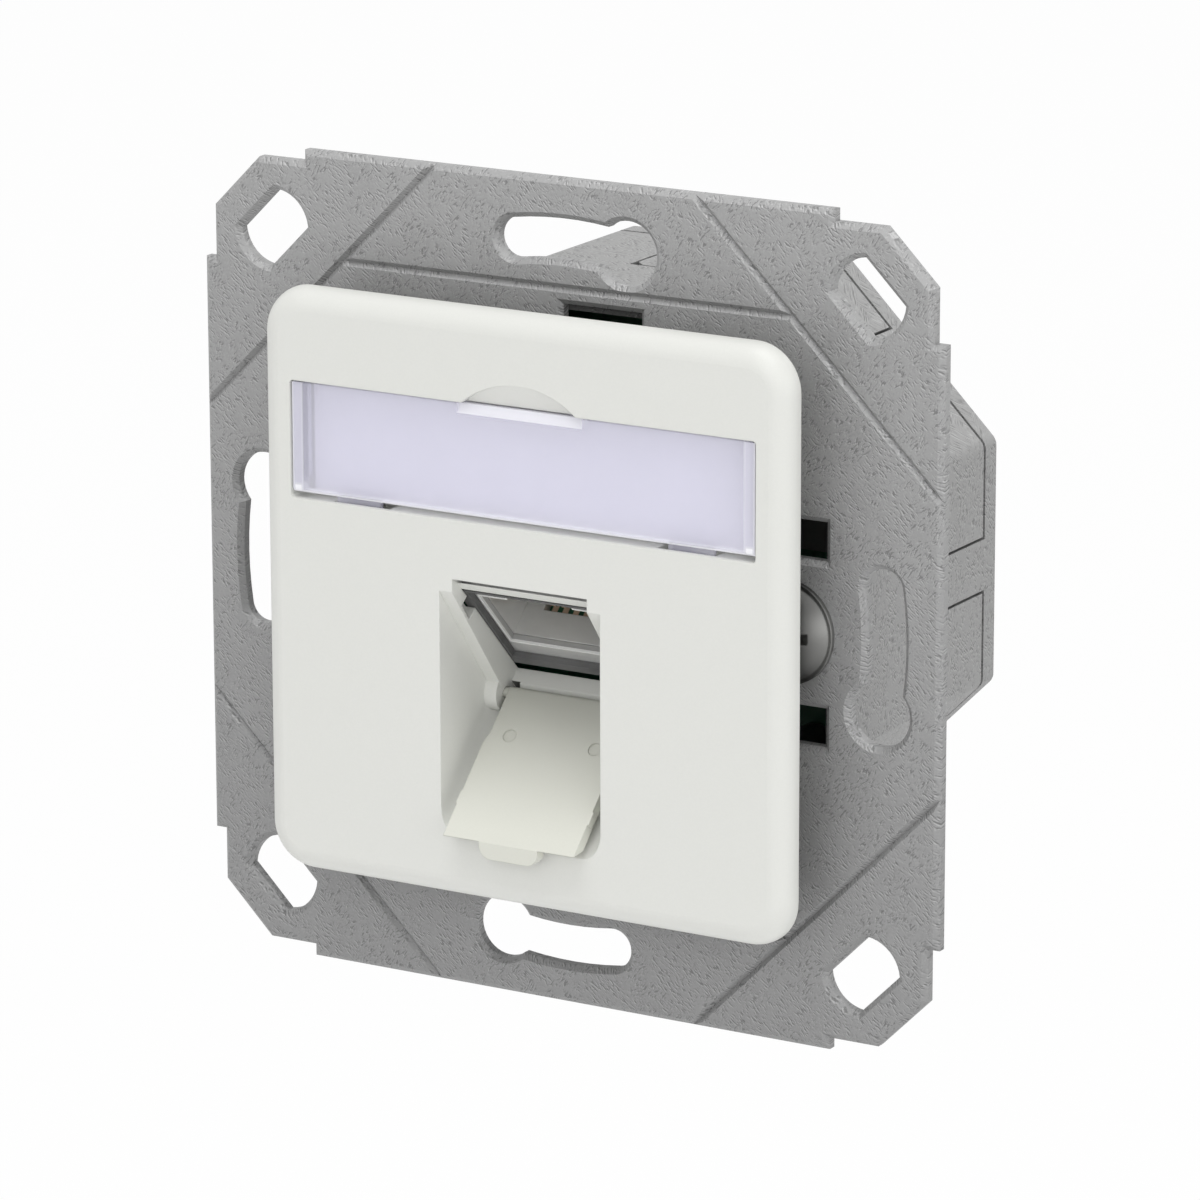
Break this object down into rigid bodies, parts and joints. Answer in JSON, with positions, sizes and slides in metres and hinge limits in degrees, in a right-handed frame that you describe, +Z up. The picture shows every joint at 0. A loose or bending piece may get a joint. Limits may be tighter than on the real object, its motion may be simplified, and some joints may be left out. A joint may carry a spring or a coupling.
{
  "type": "flush ethernet wall socket",
  "caption": "Flush data outlet: slotted steel support frame, octagonal metal housing, white plate with label window and a tilted modular jack behind a hinged dust flap.",
  "frame": {"origin": "centre of the rear face of the support frame, where it lies on the wall", "axes": "+X to the right seen from the room, +Y into the wall, +Z up"},
  "size_m": [0.07, 0.0379, 0.07],
  "materials": {
    "sheet_steel": "galvanised, lightly scratched",
    "housing_metal": "galvanised, satin",
    "screw_steel": "smooth",
    "board": "solder-resist green",
    "block_plastic": "moulded",
    "contact_brass": "tinned brass",
    "jack_metal": "tinned",
    "plate_plastic": "smooth white moulding",
    "cover_plastic": "clear moulding",
    "card": "plain white card",
    "flap_plastic": "smooth white moulding",
    "insert_metal": "smooth",
    "contact_copper": "plated copper alloy",
    "gasket": "conductive rubber",
    "cradle_plastic": "moulded",
    "spring_steel": "bright"
  },
  "bodies": {
    "outlet": {"support_frame": "sheet_steel", "housing_tub": "housing_metal", "rear_cover": "housing_metal", "housing_screws": "screw_steel", "main_board": "board", "board_screws": "screw_steel", "blade_block_left": "block_plastic", "blade_block_right": "block_plastic", "wire_blades": "contact_brass", "pair_shield": "jack_metal", "cable_saddle": "jack_metal", "saddle_screws": "screw_steel", "central_plate": "plate_plastic", "label_card": "card", "jack_shell": "jack_metal", "jack_insert": "insert_metal", "contact_board": "board", "jack_gasket": "gasket", "jack_cradle": "cradle_plastic", "jack_pins": "contact_brass", "earth_spring": "spring_steel"},
    "flap": {"dust_flap": "flap_plastic"},
    "label_window": {"label_cover": "cover_plastic"},
    "contact_springs": {"jack_contacts": "contact_copper"}
  },
  "joints": [
    {"name": "flap_hinge", "type": "hinge", "parent": "outlet", "child": "flap", "pos_m": [0, 0.00024, -0.00931], "axis": [-1, 0, 0], "range_deg": [0, 97]},
    {"name": "cover_tilt", "type": "hinge", "parent": "outlet", "child": "label_window", "pos_m": [0, -0.0076, 0.0073], "axis": [1, 0, 0], "range_deg": [0, 40]},
    {"name": "contact_flex", "type": "hinge", "parent": "outlet", "child": "contact_springs", "pos_m": [0, 0.00331, -0.00223], "axis": [-1, 0, 0], "range_deg": [0, 12], "stiffness_Nm_per_rad": 0.25}
  ]
}
